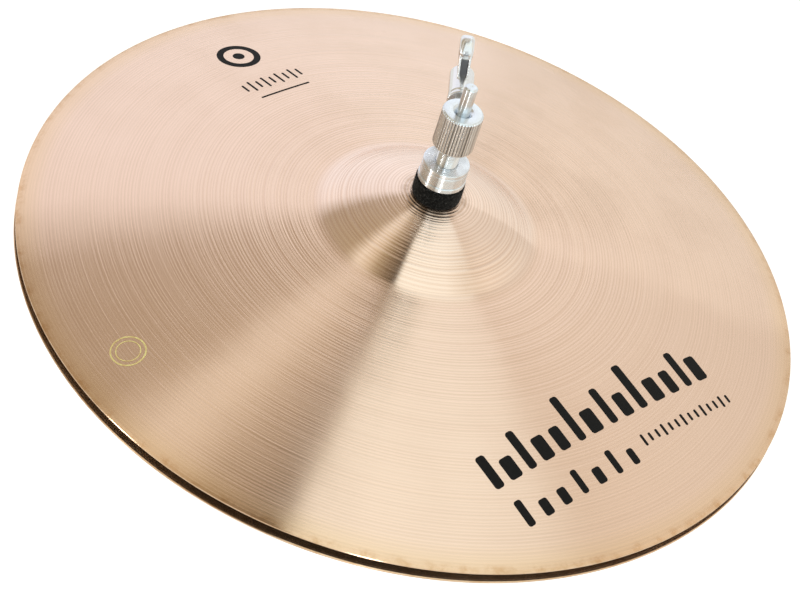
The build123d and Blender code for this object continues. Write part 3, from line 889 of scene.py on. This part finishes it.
def add_wing_screw(chromed, recess, steel):
    corners, faces = [], []
    for part in (wing_hub(), wing_lobe(1), wing_lobe(-1), *wing_web(1), *wing_web(-1)):
        first = len(corners)
        corners += part[0]
        faces += [tuple(first + k for k in f) for f in part[1]]
    # the wing's own side, X here, stands upright when the screw lies along +Y
    upright = LAY_ALONG_Y @ Matrix.Rotation(-WING_LEAN, 4, "Z") @ Matrix.Rotation(math.pi / 2, 4, "Z")
    corners = [upright @ Vector(c) for c in corners]
    wing = mesh_piece(
        "wing_handle_cast", (corners, faces), chromed, "wing_screw", ("wing_handle",),
        math.radians(60),
    )
    cast = wing.modifiers.new("cast", "REMESH")
    cast.mode = "VOXEL"
    cast.voxel_size = VOXEL
    cast.use_smooth_shade = True
    smooth = wing.modifiers.new("smooth", "SMOOTH")
    smooth.iterations = 7
    apply_modifiers(wing)
    # the channel's floor is a dark sheet: painted shade in the channel's depth
    floor_share = 0.9 * WEB_CORE_SHARE
    for side, name in ((1, "wing_channel_upper"), (-1, "wing_channel_lower")):
        corners, faces = wing_plate(side, CHANNEL_FLOOR_DEPTH, -floor_share, floor_share)
        mesh_piece(name, ([upright @ c for c in corners], faces), recess, "wing_screw")
    start, end = low("wing_stud").y, high("wing_stud").y
    section = ring_loop(SCREW_RADIUS, AXIS_RADIUS, start, end, 0.3 * MM)
    loop = resampled(section, SCREW_PITCH / 7)
    thread = screw_thread(SCREW_RADIUS, start, end, SCREW_PITCH, SCREW_THREAD_DEPTH)
    mesh_piece(
        "wing_stud_threaded", lathe(loop, 56, thread, LAY_ALONG_Y), steel, "wing_screw",
        ("wing_stud",), math.radians(75),
    )


# ---- Printed marks: plain bars, dots and rings that ride on the top cymbal ----
INK_LIFT = 0.045 * MM


def print_height(x, y):
    """Height of the ink at a point of the top cymbal."""
    r = math.hypot(x, y)
    return hammered(0.0)(r, dome(r) + INK_LIFT, math.atan2(y, x))[1] + TOP_RIM_EDGE


def bar(centre, along, length, width, rounding):
    """A bar with rounded corners, in plan: its strip of points across, from end to end."""
    along = Vector(along).normalized()
    across = Vector((-along.y, along.x))
    strip = []
    steps = max(10, int(length / (0.6 * MM)))
    for step in range(steps + 1):
        s = length * (0.5 - 0.5 * math.cos(math.pi * step / steps))
        near_end = min(s, length - s, rounding)
        half = width / 2 - rounding + math.sqrt(max(0.0, rounding ** 2 - (rounding - near_end) ** 2))
        middle = Vector(centre) + (s - length / 2) * along
        strip.append([middle + side * half * across for side in (-1, -0.33, 0.33, 1)])
    return strip


def ring_strip(centre, outer, inner):
    """A closed ring, in plan."""
    strip = []
    steps = 72
    for step in range(steps + 1):
        angle = 2 * math.pi * step / steps
        heading = Vector((math.cos(angle), math.sin(angle)))
        strip.append([Vector(centre) + r * heading for r in (inner, (inner + outer) / 2, outer)])
    return strip


def print_piece(name, strips, material):
    corners, faces = [], []
    for strip in strips:
        first, wide = len(corners), len(strip[0])
        corners += [Vector((p.x, p.y, print_height(p.x, p.y))) for row in strip for p in row]
        for row in range(len(strip) - 1):
            for k in range(wide - 1):
                here = first + row * wide + k
                faces.append((here, here + 1, here + wide + 1, here + wide))
    mesh_piece(name, (corners, faces), material, "top_cymbal")


def plan_frame(degrees):
    """The outward direction at an azimuth, and the direction a quarter turn on from it."""
    angle = math.radians(degrees)
    return Vector((math.cos(angle), math.sin(angle))), Vector((-math.sin(angle), math.cos(angle)))


MAIN_BARS = [  # (place along the row, length towards the centre, width) in mm
    (-70, 17, 5), (-60, 11, 7), (-50, 20, 4.5), (-40, 12, 7), (-29.5, 12, 6), (-19, 24, 4.5),
    (-9, 12, 7.5), (2, 19, 4.5), (12, 12, 6.5), (22, 24, 5), (33, 12, 7.5), (44, 12, 6),
    (54, 19, 4.5), (64, 13, 7),
]
LESSER_BARS = [
    (-68, 13, 4), (-57, 8, 5), (-46, 8, 5), (-35, 12, 3.5), (-24, 8, 5), (-13, 12, 3.5), (-2, 8, 4),
]
FRONT_AZIMUTH, BACK_AZIMUTH, GOLD_AZIMUTH = 315, 133, 221
MAIN_ROW_RADIUS = 135  # of the bars' outer ends, in mm
LESSER_ROW_RADIUS = 156
FRONT_TICKS_RADIUS = 148
BACK_RING_RADIUS = 148
BACK_TICKS_RADIUS = 121
BACK_LINE_RADIUS = 110.5
GOLD_RINGS_RADIUS = 165


def row_of_bars(bars, radius, rounding, outward, onward):
    """Bars side by side, whose outer ends stand on a straight row."""
    strips = []
    for place, length, width in bars:
        foot = radius * outward + place * onward
        middle = (foot - length / 2 * outward) * MM
        strips.append(bar(middle, outward, length * MM, width * MM, rounding))
    return strips


def front_strips():
    outward, onward = plan_frame(FRONT_AZIMUTH)
    strips = row_of_bars(MAIN_BARS, MAIN_ROW_RADIUS, 1.6 * MM, outward, onward)
    strips += row_of_bars(LESSER_BARS, LESSER_ROW_RADIUS, 1.3 * MM, outward, onward)
    for k in range(14):
        spot = (FRONT_TICKS_RADIUS * outward + (9 + 4.6 * k) * onward) * MM
        strips.append(bar(spot, outward, (4.2 if k % 3 else 6) * MM, 1.5 * MM, 0.6 * MM))
    return strips


def back_strips():
    outward, onward = plan_frame(BACK_AZIMUTH)
    centre = BACK_RING_RADIUS * MM * outward
    strips = [ring_strip(centre, 11 * MM, 7.6 * MM), ring_strip(centre, 3 * MM, 0.05 * MM)]
    for k in range(9):
        spot = (BACK_TICKS_RADIUS * outward + (4.2 * k - 16.8) * onward) * MM
        strips.append(bar(spot, outward, (9 if k % 2 else 6) * MM, 1.2 * MM, 0.5 * MM))
    strips.append(bar(BACK_LINE_RADIUS * MM * outward, onward, 30 * MM, 1.1 * MM, 0.4 * MM))
    return strips


def gold_strips():
    outward, _ = plan_frame(GOLD_AZIMUTH)
    centre = GOLD_RINGS_RADIUS * MM * outward
    return [ring_strip(centre, 8 * MM, 7.3 * MM), ring_strip(centre, 5.6 * MM, 5.1 * MM)]


def add_prints():
    black = ink("black_ink", (0.004, 0.004, 0.004, 1), 0.0, 0.55)
    gold = ink("gold_ink", (0.80, 0.60, 0.28, 1), 0.8, 0.5)
    print_piece("front_print", front_strips(), black)
    print_piece("back_print", back_strips(), black)
    print_piece("gold_print", gold_strips(), gold)


# ---- CAD nodes that keep their own shape ----
def dress_plain_nodes(metals):
    """Gives a material to each CAD node that no piece replaces."""
    black_nylon = plastic("black_nylon", (0.012, 0.012, 0.013, 1), 0.42)
    natural_nylon = plastic("natural_nylon", (0.72, 0.70, 0.62, 1), 0.40)
    rubber = plastic("rubber", (0.018, 0.018, 0.018, 1), 0.62)
    for name, material in (
        ("seat_spigot", metals["steel"]), ("rod_guide_bushes", natural_nylon),
        ("seat_cup", black_nylon), ("cup_screws", metals["steel"]), ("rod_lock_nut", metals["steel"]),
        ("rod_bumper", rubber), ("sleeve_liner", natural_nylon), ("clamp_pad", metals["brass"]),
    ):
        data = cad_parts[name].data
        data.materials.clear()
        data.materials.append(material)


# ---- Camera, floor and light ----
def add_camera():
    azimuth, elevation, roll = CAMERA_AZIMUTH, CAMERA_ELEVATION, CAMERA_ROLL
    back = Vector((
        math.sin(azimuth) * math.cos(elevation),
        -math.cos(azimuth) * math.cos(elevation),
        math.sin(elevation),
    ))
    level = Vector((math.cos(azimuth), math.sin(azimuth), 0))
    right = math.cos(roll) * level + math.sin(roll) * back.cross(level)
    up = back.cross(right)
    place = Vector((0, 0, TOP_RIM_EDGE)) + CAMERA_DISTANCE * back
    place += CAMERA_SHIFT[0] * right + CAMERA_SHIFT[1] * up
    data = bpy.data.cameras.new("camera")
    data.lens = CAMERA_LENS
    data.sensor_width = 36
    data.clip_start = 0.05
    camera = bpy.data.objects.new("camera", data)
    bpy.context.scene.collection.objects.link(camera)
    turn = Matrix((right, up, back)).transposed().to_4x4()
    camera.matrix_world = Matrix.Translation(place) @ turn
    bpy.context.scene.camera = camera


PAPER_GLOW = 0.45  # lifts the lit floor to white for the camera
MIRRORED_PAPER_GLOW = 0.20  # and nearly to white where metal shows it


def paper_glow(tree):
    """How much the floor glows, for a ray from the camera or one that a mirror or glass passes on."""
    path = node(tree, "ShaderNodeLightPath").outputs
    passed_on = math_node(tree, "MAXIMUM", path["Is Glossy Ray"], path["Is Transmission Ray"])
    mirrored = product(tree, passed_on, MIRRORED_PAPER_GLOW)
    direct = product(tree, path["Is Camera Ray"], PAPER_GLOW)
    return math_node(tree, "MAXIMUM", direct, mirrored)


def add_floor():
    """A pale floor that keeps the object's shadow, and is clear when it is looked at from below."""
    half = FLOOR_SIZE / 2
    mesh = bpy.data.meshes.new("floor")
    mesh.from_pydata(
        [(x, y, FLOOR_HEIGHT) for x, y in ((-half, -half), (half, -half), (half, half), (-half, half))],
        [], [(0, 1, 2, 3)],
    )
    floor = bpy.data.objects.new("floor", mesh)
    bpy.context.scene.collection.objects.link(floor)
    material = bpy.data.materials.new("floor")
    material.use_nodes = True
    tree = material.node_tree
    tree.nodes.remove(tree.nodes["Principled BSDF"])
    paper = node(tree, "ShaderNodeBsdfDiffuse", {"Color": (0.85, 0.85, 0.85, 1)}).outputs[0]
    glow = paper_glow(tree)
    lift = node(tree, "ShaderNodeEmission", {"Color": (1, 1, 1, 1), "Strength": glow}).outputs[0]
    both = node(tree, "ShaderNodeAddShader", {0: paper, 1: lift}).outputs[0]
    clear = node(tree, "ShaderNodeBsdfTransparent").outputs[0]
    from_below = node(tree, "ShaderNodeNewGeometry").outputs["Backfacing"]
    shown = node(tree, "ShaderNodeMixShader", {0: from_below, 1: both, 2: clear}).outputs[0]
    tree.links.new(shown, tree.nodes["Material Output"].inputs["Surface"])
    mesh.materials.append(material)


LAMPS = (  # azimuth, distance, height, width, height of the panel, power
    (209.0, 1.3, -0.18, 0.16, 0.50, 2.6),
    (272.0, 1.3, -0.18, 0.14, 0.50, 2.6),
)


def add_lamps():
    """Two tall low softboxes, which put upright streaks on the clutch's round metal."""
    target = Vector((0, 0, 0.14))
    for number, (degrees, distance, height, width, tall, power) in enumerate(LAMPS):
        angle = math.radians(degrees)
        data = bpy.data.lights.new(f"softbox_{number}", "AREA")
        data.shape = "RECTANGLE"
        data.size = width
        data.size_y = tall
        data.energy = power
        lamp = bpy.data.objects.new(f"softbox_{number}", data)
        bpy.context.scene.collection.objects.link(lamp)
        lamp.location = (distance * math.cos(angle), distance * math.sin(angle), height)
        lamp.rotation_euler = (target - lamp.location).to_track_quat("-Z", "Y").to_euler()


# The studio's panels are wedges, which meet at the point a level cymbal mirrors to the front.
FAN_POINT = (0.1155, 0.7291)
PANELS = [  # (degrees round the fan point, colour), seen in the bow
    (0, (0.94, 0.93, 0.88)),
    (25, (0.94, 0.95, 0.92)),
    (70, (0.94, 0.96, 0.97)),
    (84, (1.11, 1.15, 1.22)),
    (105, (1.10, 1.13, 1.20)),
    (170, (1.00, 1.00, 1.06)),
    (184, (0.94, 0.92, 0.95)),
    (196, (0.47, 0.40, 0.32)),
    (224, (0.47, 0.40, 0.30)),
    (231, (0.94, 0.92, 0.84)),
    (237, (0.84, 0.79, 0.68)),
    (242, (0.60, 0.53, 0.42)),
    (249, (0.56, 0.48, 0.37)),
    (253.5, (0.36, 0.30, 0.22)),
    (256, (0.28, 0.23, 0.16)),
    (257.3, (1.04, 1.12, 1.09)),
    (300, (1.02, 1.10, 1.08)),
    (303, (0.72, 0.67, 0.59)),
    (325, (0.80, 0.77, 0.71)),
]
INNER_PANELS = [  # close to the fan point, seen where the bow meets the bell
    (0, (1.04, 1.04, 1.00)),
    (12, (1.16, 1.17, 1.13)),
    (68, (1.16, 1.18, 1.16)),
    (90, (1.11, 1.14, 1.19)),
    (180, (1.00, 1.00, 1.04)),
    (198, (0.64, 0.56, 0.48)),
    (222, (0.74, 0.66, 0.56)),
    (234, (1.00, 0.95, 0.86)),
    (250, (0.76, 0.68, 0.57)),
    (256, (0.62, 0.54, 0.42)),
    (259, (0.98, 1.02, 0.98)),
    (298, (1.04, 1.08, 1.04)),
    (306, (0.86, 0.81, 0.74)),
    (335, (0.96, 0.93, 0.86)),
]
OUTER_PANELS = [  # far from the fan point, seen only in the steep sides of the bell
    (0, (1.04, 1.03, 0.98)),
    (70, (0.98, 1.00, 1.01)),
    (84, (1.14, 1.18, 1.24)),
    (105, (1.20, 1.23, 1.28)),
    (160, (1.16, 1.16, 1.20)),
    (184, (1.04, 1.01, 1.02)),
    (196, (0.47, 0.40, 0.31)),
    (222, (0.50, 0.42, 0.29)),
    (231, (0.94, 0.88, 0.74)),
    (237, (0.74, 0.64, 0.47)),
    (242, (0.42, 0.34, 0.20)),
    (248, (0.18, 0.13, 0.07)),
    (254.6, (0.05, 0.035, 0.02)),
    (256.3, (1.14, 1.19, 1.10)),
    (284, (1.08, 1.11, 1.02)),
    (297, (0.88, 0.84, 0.72)),
    (312, (0.98, 0.93, 0.82)),
    (335, (0.92, 0.89, 0.81)),
]
INNER_REACH = (0.10, 0.30)  # distances from the fan point over which the inner panels give way
OUTER_REACH = (0.52, 0.80)  # over which the outer panels take over
CLUTCH_REACH = (1.12, 1.40)  # over which the bow's panels return, for the clutch


def fan_of_panels(tree, share, panels):
    """The colour of a fan of wedges at a share of a full turn."""
    fan = node(tree, "ShaderNodeValToRGB", {"Fac": share})
    ramp = fan.color_ramp
    while len(ramp.elements) < len(panels):
        ramp.elements.new(0.5)
    for stop, (degrees, colour) in zip(ramp.elements, panels):
        stop.position = degrees / 360
        stop.color = (*colour, 1)
    return fan.outputs["Color"]


def add_world():
    world = bpy.data.worlds.new("studio")
    bpy.context.scene.world = world
    world.use_nodes = True
    tree = world.node_tree
    toward = node(tree, "ShaderNodeTexCoord").outputs["Generated"]
    parts = node(tree, "ShaderNodeSeparateXYZ", {0: toward}).outputs
    across = math_node(tree, "SUBTRACT", parts["X"], FAN_POINT[0])
    away = math_node(tree, "SUBTRACT", parts["Y"], FAN_POINT[1])
    turn = math_node(tree, "ARCTAN2", away, across)
    share = math_node(tree, "FRACT", math_node(tree, "DIVIDE", turn, 2 * math.pi))
    inner, middle, outer = (
        fan_of_panels(tree, share, panels) for panels in (INNER_PANELS, PANELS, OUTER_PANELS)
    )
    squared = math_node(tree, "ADD", product(tree, across, across), product(tree, away, away))
    reach = math_node(tree, "SQRT", squared)
    near = mix_colour(tree, remap(tree, reach, *INNER_REACH, 0.0, 1.0), inner, middle)
    far = mix_colour(tree, remap(tree, reach, *CLUTCH_REACH, 0.0, 1.0), outer, middle)
    panels = mix_colour(tree, remap(tree, reach, *OUTER_REACH, 0.0, 1.0), near, far)
    seen = node(tree, "ShaderNodeLightPath").outputs["Is Camera Ray"]
    colour = mix_colour(tree, seen, panels, (1, 1, 1, 1))
    tree.links.new(colour, tree.nodes["Background"].inputs["Color"])


bpy.context.scene.view_settings.view_transform = "Standard"
add_camera()
add_floor()
add_world()
add_lamps()
METALS = {
    "aluminium": turned_metal("aluminium", ALUMINIUM, 0.28, Anisotropic=1.0),
    "chrome": chrome("chrome", 0.20),
    "polished": chrome("polished", 0.07),
    "rod_steel": turned_metal("rod_steel", (0.80, 0.85, 0.90, 1), 0.17, Anisotropic=1.0),
    # a dark sheet for the wing's channels, painted shade
    "recess": turned_metal("recess", (0.16, 0.16, 0.17, 1), 0.35),
    "steel": turned_metal("steel", (0.56, 0.57, 0.59, 1), 0.30, Anisotropic=0.8),
    "brass": turned_metal("brass", (0.86, 0.66, 0.32, 1), 0.28, axis="Y", centre=SCREW_CENTRE),
}
add_cymbals(
    bronze("bronze", BRONZE, BELL_BRONZE, BRONZE_GROOVE_SHADE),
    # the darker bronze of the facing sides is painted shade
    bronze("bronze_inside_shaded", SHADED_INSIDE_BRONZE, SHADED_INSIDE_BRONZE, INSIDE_GROOVE_SHADE),
)
add_felts(
    felt("felt", (0.002, 0.002, 0.002, 1), (0.055, 0.054, 0.052, 1), 0.05),
    felt("felt_fibres", (0.04, 0.04, 0.04, 1), (0.24, 0.24, 0.23, 1), 0.2),
)
add_clutch(
    METALS["aluminium"],
    (
        ribbed_metal(
            "body_ribs", RIB_ALUMINIUM, RIB_WEAR_AND_VALLEY_SHADE, 0.20, BODY_RADIUS, BODY_RIB_DEPTH,
            low("clutch_body").z + BODY_BEVEL, high("clutch_body").z - BODY_BEVEL,
        ),
        ribbed_metal(
            "nut_ribs", RIB_ALUMINIUM, RIB_WEAR_AND_VALLEY_SHADE, 0.20, BOTTOM_NUT_RADIUS, BODY_RIB_DEPTH,
            low("bottom_nut").z + BODY_BEVEL, high("bottom_nut").z - BODY_BEVEL,
        ),
    ),
    METALS["polished"],
    METALS["steel"],
)
add_rod(METALS["rod_steel"])
add_wing_screw(METALS["chrome"], METALS["recess"], METALS["steel"])
add_prints()
dress_plain_nodes(METALS)
